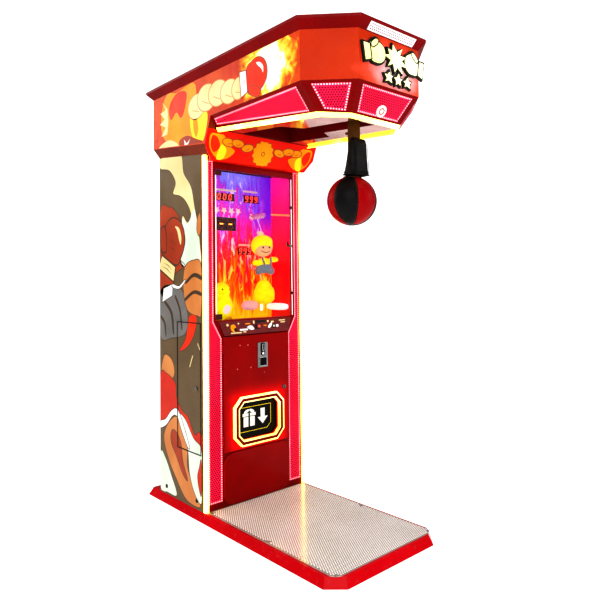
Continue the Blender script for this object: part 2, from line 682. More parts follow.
def inflate(obj, voxel, cap, pressure=4.0, smooth_steps=0):
    """Stuff a closed form: remesh, swell it as pressurised cloth, cap the swelling, subdivide."""
    remesh = obj.modifiers.new("Remesh", "REMESH")
    remesh.mode = "VOXEL"
    remesh.voxel_size = voxel
    settle(obj)
    start = [v.co.copy() for v in obj.data.vertices]
    cloth = obj.modifiers.new("Cloth", "CLOTH")
    cloth.settings.use_pressure = True
    cloth.settings.uniform_pressure_force = pressure
    cloth.settings.effector_weights.gravity = 0.0
    cloth.point_cache.frame_start = 1
    cloth.point_cache.frame_end = CLOTH_FRAMES
    scene = bpy.context.scene
    for step in range(1, CLOTH_FRAMES + 1):
        scene.frame_set(step)
    settle(obj)
    scene.frame_set(1)
    for vertex, origin in zip(obj.data.vertices, start):
        move = vertex.co - origin
        if move.length > cap:
            vertex.co = origin + move.normalized() * cap
    if smooth_steps:
        relax = obj.modifiers.new("Smooth", "SMOOTH")
        relax.iterations = smooth_steps
        relax.factor = 0.5
    subdivide = obj.modifiers.new("Subdivision", "SUBSURF")
    subdivide.levels = subdivide.render_levels = 1
    settle(obj)
    for face in obj.data.polygons:
        face.use_smooth = True
    return obj


def centre_of(name):
    low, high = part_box(name)
    return (low + high) / 2


# ---------------------------------------------------------------- punching ball
ball_low, ball_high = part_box("punch_ball")
ball_radius = (ball_high.x - ball_low.x) / 2
ball_centre = Vector((0.0, (ball_low.y + ball_high.y) / 2, ball_low.z + ball_radius))
GORES = 6
SEAM_WIDTH = math.radians(2.6)
SEAM_DEPTH = 0.0022
NECK_RADIUS = 0.040


def ball_surface(theta, b):
    """A point of the ball at a longitude and polar angle, drawn in at the seams."""
    gore = 2 * math.pi / GORES
    off = abs((theta + gore / 2) % gore - gore / 2) * max(0.15, math.sin(b))
    puff = math.sin(math.pi * min(1.0, (theta % gore) / gore)) * math.sin(b)
    reach = ball_radius * (0.985 + 0.015 * puff)
    reach -= SEAM_DEPTH * math.exp(-(off / SEAM_WIDTH) ** 2)
    direction = Vector((math.sin(b) * math.cos(theta), math.sin(b) * math.sin(theta), math.cos(b)))
    return ball_centre + direction * reach


def add_leather(name, bm, smooth=True):
    """A piece of black leather that rides on the arm."""
    return add_mesh(name, bm, finishes["black_leather"], "punch_arm", smooth)


def make_ball():
    """Six leather gores, red and black in turn, with welted seams and a laced neck."""
    bm = bmesh.new()
    rows, columns = 56, 144
    top_angle = math.asin(NECK_RADIUS / ball_radius)
    rings = []
    for i in range(rows + 1):
        b = top_angle + (math.pi - 0.02 - top_angle) * i / rows
        rings.append([bm.verts.new(ball_surface(theta, b)) for theta in turns(columns)])
    neck = []
    for height, radius in ((0.0, 0.0405), (0.004, 0.0395), (0.0075, 0.0385)):
        z = rings[0][0].co.z + height
        neck.append([
            bm.verts.new((ball_centre.x + radius * math.cos(a),
                          ball_centre.y + radius * math.sin(a), z))
            for a in turns(columns)
        ])
    stack = neck[:0:-1] + rings
    for a, b in zip(stack, stack[1:]):
        for k in range(columns):
            face = bm.faces.new((a[k], b[k], b[(k + 1) % columns], a[(k + 1) % columns]))
            middle = 360.0 * (k + 0.5) / columns
            face.material_index = int(middle // 60) % 2
    bm.verts.index_update()
    for v in neck[0]:
        bm.verts.remove(v)
    caps = [bm.faces.new(stack[0]), bm.faces.new(stack[-1])]
    for cap in caps:
        cap.material_index = 1
    for face in bm.faces:
        face.smooth = True
        if face.calc_center_median().z < ball_centre.z - ball_radius * 0.955:
            face.material_index = 1
    leather = [finishes["ball_leather"], finishes["black_leather"]]
    ball = add_mesh("punch_ball_cover", bm, leather, "punch_arm")
    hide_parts("punch_ball")
    welt = bmesh.new()
    stitches = bmesh.new()
    welt_from, welt_to = 0.40, 2.82  # polar angles; so are the stitches' start, pitch and length
    first_stitch, stitch_pitch, stitch_length, stitch_offset = 0.48, 0.0515, 0.026, 0.0042
    for theta in turns(GORES):
        steps = [welt_from + (welt_to - welt_from) * i / 60 for i in range(61)]
        tube(welt, [ball_surface(theta, b) for b in steps], 0.0011, 6)
        for side in (-1, 1):
            for i in range(44):
                b0 = first_stitch + stitch_pitch * i
                ends = []
                for b in (b0, b0 + stitch_length):
                    shift = side * stitch_offset / (ball_radius * max(0.3, math.sin(b)))
                    point = ball_surface(theta + shift, b)
                    ends.append(point + (point - ball_centre).normalized() * 0.0002)
                tube(stitches, ends, 0.00045, 5)
    add_leather("punch_ball_welts", welt)
    thread = paint("Thread", (0.30, 0.05, 0.04), (0.45, 0.10, 0.08), rough=(0.6, 0.8), scratch=0.0)
    add_mesh("punch_ball_stitches", stitches, thread, "punch_arm", True)


make_ball()


# ---------------------------------------------------------------- padded arm sleeve
def make_pad():
    """A stuffed leather sleeve on the arm: swollen faces, rolled hem, laced back edge."""
    low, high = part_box("arm_pad")
    height = high.z - low.z
    bm = bmesh.new()
    sections = (  # share of height, half width, front y offset, back y offset
        (0.00, 0.94, 0.0010, -0.004), (0.06, 0.97, 0.0006, -0.002), (0.30, 0.955, 0.0024, -0.012),
        (0.60, 0.925, 0.0048, -0.022), (0.85, 0.89, 0.0072, -0.032), (0.955, 0.84, 0.0095, -0.036),
        (1.00, 0.70, 0.0140, -0.040),
    )
    half = (high.x - low.x) / 2 - 0.003
    rings = []
    for share, width, front, back in sections:
        y0, y1 = low.y + 0.003 + front, high.y - 0.003 + back
        z = low.z + 0.002 + (height - 0.004) * share
        outline = box_outline(0.0, (y0 + y1) / 2, half * width, (y1 - y0) / 2, 0.012)
        rings.append([bm.verts.new((x, y, z)) for x, y in outline])
    for a, b in zip(rings, rings[1:]):
        bridge(bm, a, b)
    bm.faces.new(rings[0])
    bm.faces.new(rings[-1])
    pad = add_leather("arm_pad_sleeve", bm, False)
    inflate(pad, voxel=0.005, cap=0.003, smooth_steps=3)
    for vertex in pad.data.vertices:  # leather folds, deeper towards the sleeve's lower end
        co = vertex.co
        fold = perlin.noise(Vector((co.x * 18, co.y * 18, co.z * 42)))
        lower = max(0.0, 1.0 - (co.z - low.z) / (0.5 * height))
        co.x += 0.0007 * fold
        co.y += 0.0010 * fold * (0.4 + lower)
        co.z = min(co.z, high.z)
    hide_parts("arm_pad")
    trim = bmesh.new()
    for share, grow in ((0.035, 0.0010), (0.10, 0.0006)):
        z = low.z + height * share
        y0, y1 = low.y + 0.0018, high.y - 0.0035 - 0.012 * share
        outline = box_outline(0.0, (y0 + y1) / 2, half * 0.975 + grow, (y1 - y0) / 2 + grow, 0.013)
        radius = 0.0022 if share < 0.05 else 0.0008  # the hem's roll, then a seam
        tube(trim, [Vector((x, y, z)) for x, y in outline], radius, closed=True)
    for side in (-1, 1):
        line = []
        for i in range(15):
            share = 0.06 + 0.88 * i / 14
            x = side * (half * (0.975 - 0.085 * share) - 0.0032)
            y = low.y + 0.0048 + 0.0078 * share
            line.append(Vector((x, y, low.z + height * share)))
        tube(trim, line, 0.0013, 6)
    add_leather("arm_pad_piping", trim)
    laces = bmesh.new()
    for i in range(11):
        share = 0.10 + 0.078 * i
        z = low.z + height * share
        y = high.y - 0.004 - 0.040 * share
        x = half * 0.30
        loop = [Vector((-x, y - 0.002, z)), Vector((-x * 0.5, y + 0.0012, z + 0.003)),
                Vector((x * 0.5, y + 0.0012, z + 0.006)), Vector((x, y - 0.002, z + 0.009))]
        tube(laces, loop, 0.0016, 6)
    add_leather("arm_pad_laces", laces)


make_pad()


# ---------------------------------------------------------------- soft toys in the prize bay
plush = {
    "yellow": finishes["plush_yellow"],
    "peach": paint("PlushPeach", (0.88, 0.46, 0.24), (0.98, 0.62, 0.36), rough=(0.8, 0.95),
                   bump=0.7, bump_scale=900.0, scratch=0.0, glow=0.24),
    "blue": paint("PlushBlueGrey", (0.20, 0.25, 0.32), (0.34, 0.40, 0.48), rough=(0.8, 0.95),
                  sheen=0.3, weave=260.0, bump=0.5, scratch=0.0, glow=0.06),
    "white": paint("PlushWhite", (0.86, 0.82, 0.85), (0.96, 0.93, 0.95), rough=(0.75, 0.9),
                   bump=0.6, bump_scale=700.0, scratch=0.0, glow=0.6),
    "pink": paint("PlushPink", (0.85, 0.46, 0.54), (0.95, 0.66, 0.70), rough=(0.8, 0.95), bump=0.7,
                  bump_scale=900.0, scratch=0.0, glow=0.32),
    "cream": paint("RibbonCream", (0.70, 0.60, 0.42), (0.86, 0.78, 0.60), rough=(0.5, 0.7),
                   weave=300.0, bump=0.3, scratch=0.0, glow=0.15),
    "black": paint("BeadBlack", (0.010, 0.009, 0.009), rough=(0.1, 0.2)),
    "orange": paint("FeltOrange", (0.80, 0.30, 0.02), (0.92, 0.42, 0.03), rough=(0.8, 0.95),
                    bump=0.6, scratch=0.0, glow=0.08),
}


def add_plush(name, bm, tone, smooth=True):
    """A fabric or felt piece of the prize bay."""
    return add_mesh(name, bm, plush[tone], "cabinet", smooth)


def toy(name, forms, tone, cap=0.004, voxel=0.005, fuzz=0.0012):
    """A stuffed form from overlapping ellipsoids, each (centre, radii, power)."""
    bm = bmesh.new()
    for centre, radii, power in forms:
        ball_mesh(bm, centre, radii, power=power)
    obj = add_plush(name, bm, tone, False)
    inflate(obj, voxel, cap, smooth_steps=2)
    for vertex in obj.data.vertices:
        vertex.co += vertex.normal * fuzz * perlin.noise(vertex.co * 260.0)
    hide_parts("prize_plushes")


def bay_pad(name, centre, radii, power, tone):
    """A stuffed roll that lies on the floor of the prize bay."""
    bm = bmesh.new()
    ball_mesh(bm, centre, radii, power=power)
    obj = add_plush(name, bm, tone, False)
    inflate(obj, voxel=0.006, cap=0.003)


def beads(name, spots):
    bm = bmesh.new()
    for centre, radius in spots:
        ball_mesh(bm, centre, (radius, radius * 0.6, radius), 10, 14)
    add_plush(name, bm, "black")


def make_toys():
    """Three plain toys, two pads and the strings that the upper toys hang from."""
    x, y, z = 0.150, 0.370, 1.402     # upper toy: a plain doll in dungarees
    toy("toy_upper_head", [((x, y - 0.002, z - 0.014), (0.062, 0.034, 0.044), 1.0)], "peach")
    toy("toy_upper_hair", [((x - 0.001, y + 0.004, z + 0.006), (0.074, 0.035, 0.062), 1.0),
                           ((x - 0.001, y - 0.006, z + 0.030), (0.066, 0.032, 0.038), 1.0)],
                           "yellow", fuzz=0.0022)
    bow = bmesh.new()
    for lean, reach in ((0.9, 0.030), (0.25, 0.026), (-0.35, 0.022)):
        loop = []
        for i in range(15):
            a = math.pi * 2 * i / 15
            u, v = reach * (0.5 + 0.5 * math.cos(a)), 0.011 * math.sin(a)
            loop.append(Vector((x - 0.018 - u * math.sin(lean) + v * math.cos(lean), y - 0.012,
                                z + 0.062 + u * math.cos(lean) + v * math.sin(lean))))
        tube(bow, loop, 0.0034, 8, True)
    add_plush("toy_upper_bow", bow, "cream")
    toy("toy_upper_body", [((x + 0.008, y, z - 0.104), (0.047, 0.029, 0.040), 0.9),
                           ((x + 0.074, y - 0.006, z - 0.074), (0.034, 0.017, 0.017), 1.0),
                           ((x - 0.046, y - 0.006, z - 0.094), (0.031, 0.016, 0.017), 1.0)],
                           "yellow")
    toy("toy_upper_dungarees", [((x + 0.010, y - 0.002, z - 0.124), (0.052, 0.033, 0.032), 0.85),
                                ((x + 0.052, y - 0.006, z - 0.140), (0.026, 0.019, 0.024), 1.0),
                                ((x - 0.030, y - 0.004, z - 0.142), (0.024, 0.019, 0.022), 1.0)],
                                "blue")
    straps = bmesh.new()
    for side in (-1, 1):
        tube(straps, [Vector((x + 0.008 + side * 0.030, y - 0.026, z - 0.062)),
                      Vector((x + 0.008 + side * 0.027, y - 0.034, z - 0.084)),
                      Vector((x + 0.010 + side * 0.022, y - 0.036, z - 0.106))], 0.0055, 8)
    add_plush("toy_upper_straps", straps, "blue")
    beads("toy_upper_eyes", [((x - 0.022, y - 0.037, z - 0.006), 0.0058),
                             ((x + 0.022, y - 0.037, z - 0.005), 0.0058)])
    smile = bmesh.new()
    arc = []
    for a in (-1.15 + 2.3 * i / 14 for i in range(15)):
        arc.append(Vector((x + 0.038 * math.sin(a), y - 0.0365 + 0.010 * abs(math.sin(a)),
                           z - 0.012 - 0.022 * math.cos(a))))
    tube(smile, arc, 0.0020, 6)
    add_plush("toy_upper_smile", smile, "black")
    toy("toy_lower_body", [((x + 0.010, y, 1.128), (0.068, 0.036, 0.060), 0.9),
                           ((x + 0.006, y, 1.166), (0.050, 0.030, 0.044), 1.0),
                           ((x + 0.054, y, 1.104), (0.026, 0.020, 0.024), 1.0)], "yellow",
                           fuzz=0.0022)
    toy("toy_lower_tag", [((x - 0.014, y - 0.004, 1.052), (0.011, 0.006, 0.022), 0.8)], "white",
        voxel=0.004)
    x, y, z = -0.170, 0.312, 1.102    # left toy: a plain sitting chick
    toy("toy_chick_body", [((x, y, z - 0.030), (0.070, 0.044, 0.078), 0.95),
                           ((x + 0.004, y - 0.002, z + 0.050), (0.052, 0.038, 0.050), 1.0)],
                           "yellow", fuzz=0.0022)
    toy("toy_chick_belly", [((x + 0.006, y - 0.016, z - 0.036), (0.046, 0.033, 0.050), 1.0)],
        "pink")
    toy("toy_chick_feet", [((x + 0.036, y - 0.012, z - 0.098), (0.026, 0.028, 0.014), 1.0),
                           ((x - 0.030, y - 0.012, z - 0.098), (0.026, 0.028, 0.014), 1.0)],
                           "orange")
    beads("toy_chick_eyes", [((x + 0.030, y - 0.034, z + 0.058), 0.005),
                             ((x - 0.012, y - 0.040, z + 0.060), 0.005)])
    right_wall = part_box("backdrop_panel")[1].x
    bay_pad("bay_bolster", (right_wall - 0.028, 0.398, 1.050), (0.023, 0.094, 0.020), 0.6, "white")
    bay_pad("bay_cushion", (0.118, 0.455, 1.062), (0.056, 0.026, 0.028), 0.8, "pink")
    strings = bmesh.new()
    for top_z, end_z, end_y in ((1.567, 1.458, 0.374), (1.267, 1.196, 0.374)):
        tube(strings, [Vector((0.150, 0.418, top_z)), Vector((0.151, 0.39, (top_z + end_z) / 2)),
                       Vector((0.152, end_y, end_z))], 0.0012, 6)
    add_plush("toy_strings", strings, "white")


make_toys()


# ---------------------------------------------------------------- printed art
INKS = {  # darker tone, lighter tone, roughness from
    "cream": ((0.78, 0.62, 0.28), (0.88, 0.74, 0.40), 0.3),
    "mint": ((0.66, 0.74, 0.60), (0.80, 0.86, 0.76), 0.3),
    "rust": ((0.34, 0.045, 0.015), (0.46, 0.075, 0.022), 0.3),
    "red": ((0.55, 0.022, 0.008), (0.68, 0.040, 0.012), 0.3),
    "amber": ((0.56, 0.20, 0.055), (0.68, 0.28, 0.09), 0.3),
    "brown": ((0.075, 0.045, 0.026), (0.11, 0.066, 0.04), 0.3),
    "white": ((0.82, 0.84, 0.82), (0.92, 0.93, 0.91), 0.28),
    "yellow": ((0.95, 0.70, 0.01), (1.0, 0.85, 0.05), 0.28),
    "orange": ((0.86, 0.27, 0.003), (0.97, 0.38, 0.005), 0.28),
    "fire": ((0.80, 0.025, 0.004), (0.92, 0.05, 0.006), 0.28),
    "black": ((0.014, 0.010, 0.008), (0.024, 0.018, 0.014), 0.28),
    "grey": ((0.16, 0.15, 0.14), (0.24, 0.225, 0.21), 0.3),
}
ROUGH = {0.28: (0.28, 0.4), 0.3: (0.3, 0.42)}
ink = {name: paint(f"Ink{name.title()}", low, high, rough=ROUGH[rough])
       for name, (low, high, rough) in INKS.items()}
GLOVE_MITT = [(0.18, 0.18), (0.08, 0.42), (0.10, 0.70), (0.26, 0.93), (0.52, 1.0), (0.78, 0.90),
              (0.92, 0.66), (0.90, 0.40), (0.78, 0.18)]
GLOVE_THUMB = [(0.16, 0.22), (0.02, 0.38), (-0.05, 0.58), (0.05, 0.69), (0.18, 0.60), (0.28, 0.42),
               (0.32, 0.26)]
GLOVE_CUFF = [(0.20, 0.15), (0.78, 0.15), (0.83, -0.14), (0.15, -0.14)]


def set_out(points, x, y, size, turn=0.0, flip=1):
    """Unit shapes placed at a point, sized and turned."""
    c, s = math.cos(turn), math.sin(turn)
    made = []
    for u, v in points:
        u, v = (u - 0.5) * size * flip, (v - 0.45) * size
        made.append((x + u * c - v * s, y + u * s + v * c))
    return made


def glove(x, y, size, turn=0.0, flip=1, mitt="fire", cuff="white", line="black"):
    """A plain boxing glove as (layer, ink, outline) entries."""
    shapes = (
        (GLOVE_MITT, mitt, True), (GLOVE_THUMB, mitt, True), (GLOVE_CUFF, cuff, False))
    made = []
    for level, (points, tone, soft) in enumerate(shapes):
        outline = set_out(rounded(points) if soft else points, x, y, size, turn, flip)
        made.append((3 + level, tone, outline))
        made += [(3.5 + level, line, quad) for quad in stroke(outline, 0.028 * size)]
    shine = set_out(rounded([(0.46, 0.84), (0.62, 0.86), (0.76, 0.74), (0.80, 0.60), (0.70, 0.66),
                             (0.58, 0.78)]),
                    x, y, size, turn, flip)
    made.append((6, cuff, shine))
    for u0, u1, v in ((0.34, 0.66, 0.52), (0.40, 0.70, 0.40), (0.30, 0.70, 0.04),
                      (0.30, 0.70, -0.04)):
        line_at = [(u0, v), ((u0 + u1) / 2, v + 0.03), (u1, v), ((u0 + u1) / 2, v + 0.015)]
        made.append((6, line, set_out(line_at, x, y, size, turn, flip)))
    return made


def puffs(spots, tone, line, level=1):
    """Rounded cloud puffs with a dark outline, laid over each other."""
    made = []
    for i, (x, y, rx, ry, turn) in enumerate(spots):
        made.append((level + i, line, ellipse(x, y, rx + 5, ry + 5, turn)))
        made.append((level + i + 0.5, tone, ellipse(x, y, rx, ry, turn)))
        made.append((level + i + 0.7, line, ellipse(x + rx * 0.1, y - ry * 0.35, rx * 0.45, 1.8,
                                                    turn + 0.3)))
    return made


SHARP = True


def drawn(entries):
    """Art entries of (layer, ink, points), rounded unless a fourth value says SHARP."""
    return [(layer, tone, points if sharp else rounded(points))
            for layer, tone, points, *sharp in entries]


tower_art = drawn([  # flames, splashes, a glove and wraps, in millimetres of (y, z)
    (0, "cream", [
        (700, 1915), (560, 1915), (455, 1890), (430, 1790), (352, 1705), (318, 1600), (286, 1505),
        (262, 1392), (256, 1290), (340, 1262), (452, 1290), (470, 1350), (420, 1430), (452, 1512),
        (440, 1560), (392, 1520), (356, 1560), (404, 1628), (470, 1668), (548, 1690), (520, 1748),
        (590, 1822), (700, 1850)]),
    (0.2, "mint", [
        (436, 1546), (394, 1510), (352, 1552), (318, 1584), (292, 1500), (268, 1392), (264, 1298),
        (340, 1270), (444, 1296), (462, 1348), (412, 1430), (444, 1512)]),
    (1, "amber", [(262, 1560), (290, 1530), (296, 1470), (272, 1440), (254, 1480)]),
    (0, "rust", [
        (700, 1600), (600, 1622), (520, 1590), (440, 1500), (418, 1410), (470, 1330), (420, 1290),
        (520, 1250), (560, 1180), (700, 1150)]),
    (0.5, "amber", [
        (254, 1290), (330, 1318), (420, 1286), (440, 1180), (400, 1060), (300, 1030), (254, 1050)]),
    (1, "brown", [(256, 1236), (330, 1250), (410, 1210), (408, 1194), (330, 1230), (256, 1214)]),
    (1, "brown", [(256, 1150), (330, 1160), (420, 1120), (416, 1104), (330, 1142), (256, 1132)]),
    (0, "grey", [
        (700, 1150), (560, 1190), (440, 1150), (392, 1030), (420, 930), (560, 900), (700, 900)]),
    (1, "brown", [(640, 1100), (560, 1040), (540, 930), (556, 930), (580, 1030), (650, 1088)]),
    (1, "brown", [(520, 1130), (470, 1060), (450, 960), (462, 958), (486, 1056), (530, 1120)]),
    (1, "brown", [(690, 1020), (640, 980), (630, 910), (640, 910), (656, 972), (696, 1006)]),
    (1, "white", [(676, 1092), (560, 1130), (552, 1196), (660, 1170)], SHARP),
    (1, "white", [(560, 1176), (480, 1168), (420, 1206), (425, 1216), (486, 1184), (560, 1196)]),
    (0, "fire", [
        (330, 1040), (300, 1010), (330, 930), (400, 862), (480, 836), (420, 900), (398, 960),
        (380, 1020)]),
    (0, "amber", [(655, 800), (580, 790), (540, 740), (548, 690), (620, 670), (690, 700)]),
    (1, "red", [
        (700, 690), (620, 700), (530, 660), (520, 600), (500, 540), (560, 500), (640, 440),
        (700, 420)]),
    (2, "white", [
        (700, 430), (640, 452), (565, 512), (500, 520), (430, 430), (380, 346), (398, 340),
        (450, 400), (508, 480), (560, 478), (630, 420), (700, 392)]),
    (0, "red", [
        (505, 560), (450, 520), (395, 500), (330, 420), (285, 440), (250, 420), (250, 350),
        (318, 338), (390, 440), (470, 480)]),
    (0, "amber", [
        (560, 470), (500, 476), (430, 410), (400, 340), (402, 240), (340, 150), (270, 70),
        (340, 56), (430, 74), (520, 150), (600, 230), (660, 330), (640, 400)]),
    (1, "rust", [
        (520, 400), (470, 350), (450, 260), (400, 170), (450, 190), (520, 270), (580, 340),
        (570, 400)]),
    (1, "mint", [
        (480, 500), (420, 480), (340, 400), (262, 360), (258, 230), (262, 84), (330, 120),
        (380, 210), (396, 320), (430, 420)]),
    (2, "red", [(262, 300), (282, 262), (300, 210), (284, 150), (262, 130)]),
    (0, "mint", [(700, 262), (640, 236), (570, 150), (520, 84), (530, 56), (620, 56), (700, 60)]),
])
tower_art += [(layer + 0.4, "brown", quad) for layer, tone, outline in list(tower_art)
              if tone != "brown" and layer != 0.2 for quad in stroke(outline, 4.0)]
tower_art += glove(560, 1400, 290, 0.42, -1, "rust", "cream", "brown")
tower_art += [(1, "cream", [(372, 758), (340, 820), (346, 824), (378, 762)]),
              (1, "cream", [(268, 858), (292, 890), (296, 886), (272, 854)])]

head_art = drawn([
    (0, "orange", [
        (240, 2210), (330, 2228), (430, 2215), (540, 2232), (600, 2160), (612, 2060), (570, 1985),
        (470, 1945), (380, 1920), (300, 1930), (240, 2030)]),
    (1, "fire", [
        (330, 2190), (400, 2214), (470, 2200), (520, 2150), (500, 2080), (440, 2110), (390, 2070),
        (350, 2110)]),
    (2, "cream", [
        (600, 2200), (560, 2150), (622, 2140), (570, 2100), (628, 2080), (560, 2052), (610, 2010),
        (540, 2010), (528, 2080), (538, 2150)], SHARP),
    (1, "yellow", [
        (285, 2104), (200, 2084), (128, 2044), (140, 1960), (180, 1904), (250, 1920), (292, 2000)]),
    (2, "orange", [(262, 2060), (230, 2040), (212, 1980), (236, 1940), (262, 1990)]),
    (2, "cream", [(620, 1960), (520, 1975), (430, 1940), (410, 1900), (520, 1900), (640, 1930)]),
    (2, "rust", [(410, 1950), (330, 1965), (230, 1930), (170, 1905), (260, 1890), (380, 1905)]),
    (3, "white", [
        (360, 1952), (330, 1924), (296, 1944), (318, 1916), (290, 1900), (345, 1906), (376, 1900),
        (352, 1924)], SHARP),
])
head_art += puffs([(230, 2096, 84, 62, 0.0), (132, 2120, 88, 66, 0.1), (28, 2118, 84, 62, 0.1),
                   (-72, 2102, 76, 56, 0.1), (-150, 2098, 54, 50, 0.0)], "cream", "amber", 2)
head_art += [(level + 8, tone, outline) for level, tone, outline in
             glove(-272, 2122, 182, math.radians(84), 1, "fire", "white", "rust")]


def rectangle(u, v):
    return [(u[0], v[0]), (u[1], v[0]), (u[1], v[1]), (u[0], v[1])]


def print_art(prefix, entries, place, windows, body):
    """Lay each ink's outlines on a surface, cut to the windows, each layer just above the last."""
    groups = {}
    for layer, tone, outline in entries:
        groups.setdefault((layer, tone), []).append(in_metres(outline))
    for (layer, tone), outlines in sorted(groups.items()):
        name = f"{prefix}_{tone}_{str(layer).replace('.', '_')}"
        flat_piece(name, outlines, place, PRINT_GAP + PRINT_STEP * layer, PRINT_STEP, ink[tone],
                   body, windows)


# the tower's sides: one print, cut round the service door, and its part on the door
service_low, service_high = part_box("service_door")
tower_low, tower_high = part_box("tower_side_left")
PRINT_TOP = 1.905
DOOR_GAP = 0.001
y0, y1 = tower_low.y + 0.001, tower_high.y - 0.001
sy0, sy1 = service_low.y - DOOR_GAP, service_high.y + DOOR_GAP
sz0, sz1 = service_low.z - DOOR_GAP, service_high.z + DOOR_GAP
z0 = tower_low.z + 0.006
around_door = [
    rectangle((y0, y1), (sz1, PRINT_TOP)), rectangle((y0, y1), (z0, sz0)),
    rectangle((sy1, y1), (sz0, sz1)), rectangle((y0, sy0), (sz0, sz1)),
]
left_place, right_place = side_at(tower_low.x, -1), side_at(-tower_low.x, 1)
print_art("left_print", tower_art, left_place, around_door, "cabinet")
print_art("door_print", tower_art, left_place,
          [rectangle((service_low.y + 0.0005, service_high.y - 0.0005),
                     (service_low.z + 0.0005, service_high.z - 0.0005))], "side_service_door")
# a dark seal round the door, set back on the hinge side, where the door's edge swings through
SEAL_GAP, SEAL_HINGE_GAP, SEAL_WIDTH, SEAL_THICKNESS = 0.0013, 0.007, 0.004, 0.0024
seal = stroke(rectangle((sy0 - SEAL_GAP, sy1 + SEAL_HINGE_GAP), (sz0 - SEAL_GAP, sz1 + SEAL_GAP)),
              SEAL_WIDTH)
flat_piece("service_door_seal", seal, left_place, PRINT_GAP, SEAL_THICKNESS, ink["black"],
           "cabinet")
print_art("right_print", tower_art, right_place, [rectangle((y0, y1), (z0, PRINT_TOP))], "cabinet")

head_low, head_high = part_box("head_side_left")
band_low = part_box("head_nose_panels")[0].z
head_windows = [
    rectangle((head_low.y + 0.002, 0.096), (band_low + 0.001, head_high.z - 0.002)),
    [(0.096, band_low + 0.001), (0.150, 1.899), (head_high.y - 0.003, 1.957),
     (head_high.y - 0.003, head_high.z - 0.002), (0.096, head_high.z - 0.002)],
]
for side, label in ((-1, "left"), (1, "right")):
    place = side_at(side * -head_low.x, side)
    print_art(f"head_{label}", head_art, place, head_windows, "cabinet")

# leaning shoulder panel: a rosette between two trails of puffs
LEAN = 0.41
lean_place = plane_place((0, 0.160, 1.870), (1, 0, 0), (0, -LEAN, 1), (0, -1, -LEAN))
rosette_z = 18
shoulder_art = [
    (4, "rust", scallop(0, rosette_z, 72, 13, 0.13)), (5, "orange",
                                                       scallop(0, rosette_z, 68, 13, 0.13)),
    (6, "rust", ellipse(0, rosette_z, 12, 12)), (7, "orange", ellipse(0, rosette_z, 8, 8)),
]
for side in (-1, 1):
    shoulder_art += puffs([(side * 222, 46, 36, 17, side * 0.1),
                           (side * 166, 48, 36, 17, side * 0.1),
                           (side * 104, 34, 34, 17, side * -0.2)], "orange", "rust", 1)
    shoulder_art += [
        (0, "orange", rounded([
            (side * 330, 74), (side * 262, 78), (side * 212, 30), (side * 176, 8),
            (side * 214, -30), (side * 260, -38), (side * 300, -20), (side * 330, 20)])),
        (0.5, "yellow", rounded([
            (side * 262, 30), (side * 228, 10), (side * 238, -34), (side * 276, -38)])),
        (0.5, "fire", rounded([
            (side * 322, 66), (side * 290, 60), (side * 268, 20), (side * 296, -10),
            (side * 322, 20)])),
    ]
lean_windows = [[(-0.296, -0.042), (0.296, -0.042), (0.352, 0.022), (0.352, 0.078), (-0.352, 0.078),
                 (-0.352, 0.022)]]
print_art("shoulder_print", shoulder_art, lean_place, lean_windows, "cabinet")

# ---------------------------------------------------------------- raised emblem on the head's front
emblem_face = paint("EmblemFace", (0.86, 0.84, 0.30), (0.96, 0.95, 0.66), rough=(0.2, 0.3),
                    glow=0.35, gloss=0.2, scratch=0.0)
emblem_edge = paint("EmblemEdge", (0.012, 0.014, 0.010), (0.025, 0.028, 0.02), rough=(0.25, 0.4))
front_place = front_at(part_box("head_nose_panels")[0].y)
EMBLEM_Z, EMBLEM_GLOVE, EMBLEM_TURN, CUFF_SHIFT = 2150, 104, math.radians(80), 3
EMBLEM_RIM, EMBLEM_BACK, EMBLEM_FRONT = 0.017, 0.012, 0.004


def emblem_part(points, x, side):
    return set_out(points, x, EMBLEM_Z, EMBLEM_GLOVE, -side * EMBLEM_TURN, side)


emblem, lines = [], []
for x, side in ((-105, 1), (140, -1)):
    thumb = emblem_part(rounded(GLOVE_THUMB), x, side)
    emblem += [emblem_part(rounded(GLOVE_MITT), x, side), thumb,
               emblem_part(GLOVE_CUFF, x - side * CUFF_SHIFT, side)]
    if side == 1:
        emblem.append(burst(22, EMBLEM_Z + 2, 66, 58, 9, 0.56, 3))
    lines += [in_metres(quad) for quad in stroke(thumb, 5.0)]
    seam = [(0.16, 0.19), (0.80, 0.19), (0.80, 0.13), (0.16, 0.13)]
    lines.append(in_metres(emblem_part(seam, x, side)))
emblem += [burst(x, 2062, 27, 25, 5, 0.50, 40 + i, math.radians(54))
           for i, x in enumerate((-24, 36, 96))]
faces = [in_metres(outline) for outline in emblem]
backs = [shape for outline in faces for shape in [outline] + stroke(outline, EMBLEM_RIM)]
for name, outlines, lift, thick, material in (
        ("backs", backs, 0.0, EMBLEM_BACK, emblem_edge),
        ("faces", faces, EMBLEM_BACK, EMBLEM_FRONT, emblem_face),
        ("lines", lines, 0.0158, 0.0008, emblem_edge)):
    flat_piece(f"emblem_{name}", outlines, front_place, lift, thick, material, "cabinet")


# ---------------------------------------------------------------- perforated panels
def inside(point, polygon):
    """True if a point is inside a simple outline."""
    hit = False
    for (ax, ay), (bx, by) in zip(polygon, polygon[1:] + polygon[:1]):
        if (ay > point[1]) != (by > point[1]):
            if point[0] < (bx - ax) * (point[1] - ay) / (by - ay) + ax:
                hit = not hit
    return hit


def edge_gap(point, polygon):
    """How far a point is from the outline's nearest side."""
    best = 1e9
    p = Vector(point)
    for a, b in zip(polygon, polygon[1:] + polygon[:1]):
        a, b = Vector(a), Vector(b)
        t = max(0.0, min(1.0, (p - a).dot(b - a) / max((b - a).length_squared, 1e-12)))
        best = min(best, (p - a - (b - a) * t).length)
    return best


